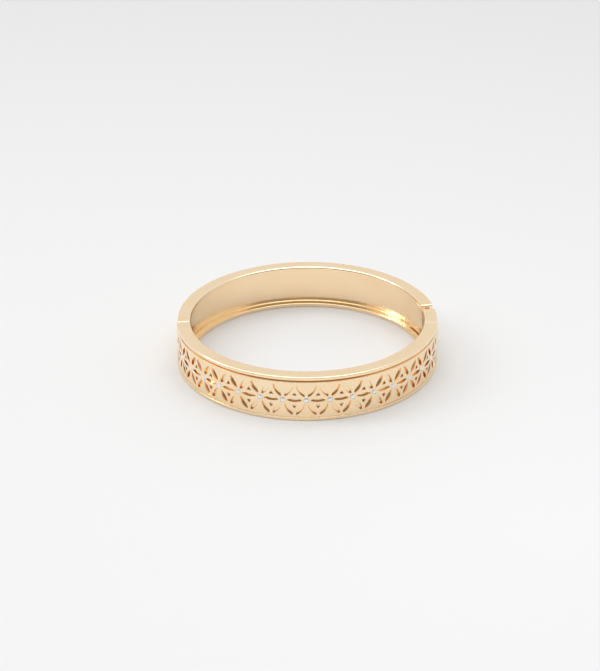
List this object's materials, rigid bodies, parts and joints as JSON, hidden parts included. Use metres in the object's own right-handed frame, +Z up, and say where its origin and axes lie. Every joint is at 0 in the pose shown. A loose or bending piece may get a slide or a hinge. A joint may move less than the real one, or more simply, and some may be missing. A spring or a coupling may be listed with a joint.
{
  "type": "hinged bangle bracelet",
  "caption": "Hinged oval bangle in gold-tone metal: a pierced front band set with small clear stones, a plain hollow-backed rear half and a magnetic clasp.",
  "frame": {"origin": "centre of the bangle's bounding box, on the surface it lies on", "axes": "+X towards the hinge, along the oval's long axis; the decorated front faces -Y; +Z up out of the lying bangle"},
  "size_m": [0.0682, 0.0646, 0.0124],
  "materials": {
    "gold_plate": "bright pale gold plating on a cast alloy, polished",
    "gold_hollow": "pale gold plating over an unpolished casting, satin",
    "gold_filigree": "pale gold plating, satin faces with bright cut edges",
    "hinge_steel": "plated steel wire, turned",
    "magnet_nickel": "nickel-plated magnet",
    "crystal": "clear faceted glass with a mirrored back"
  },
  "bodies": {
    "front_half": {"front_shell": "gold_plate", "filigree_panel": "gold_filigree", "front_hinge_block": "gold_plate", "hinge_pin": "hinge_steel", "front_clasp_insert": "gold_hollow", "clasp_tongue": "gold_hollow", "front_magnet_lower": "magnet_nickel", "front_magnet_upper": "magnet_nickel", "crystal_01": "crystal", "crystal_02": "crystal", "crystal_03": "crystal", "crystal_04": "crystal", "crystal_05": "crystal", "crystal_06": "crystal", "crystal_07": "crystal", "crystal_08": "crystal", "crystal_09": "crystal", "crystal_10": "crystal", "crystal_11": "crystal", "crystal_12": "crystal", "crystal_13": "crystal", "crystal_14": "crystal", "crystal_15": "crystal", "crystal_16": "crystal", "crystal_17": "crystal"},
    "back_half": {"back_shell": "gold_plate", "back_hinge_leaf": "gold_hollow", "back_clasp_insert": "gold_hollow", "back_magnet_lower": "magnet_nickel", "back_magnet_upper": "magnet_nickel"}
  },
  "joints": [
    {"name": "bangle_hinge", "type": "hinge", "parent": "front_half", "child": "back_half", "pos_m": [0.03238, 0.00182, 0.0062], "axis": [0, 0, -1], "range_deg": [0, 60]}
  ]
}
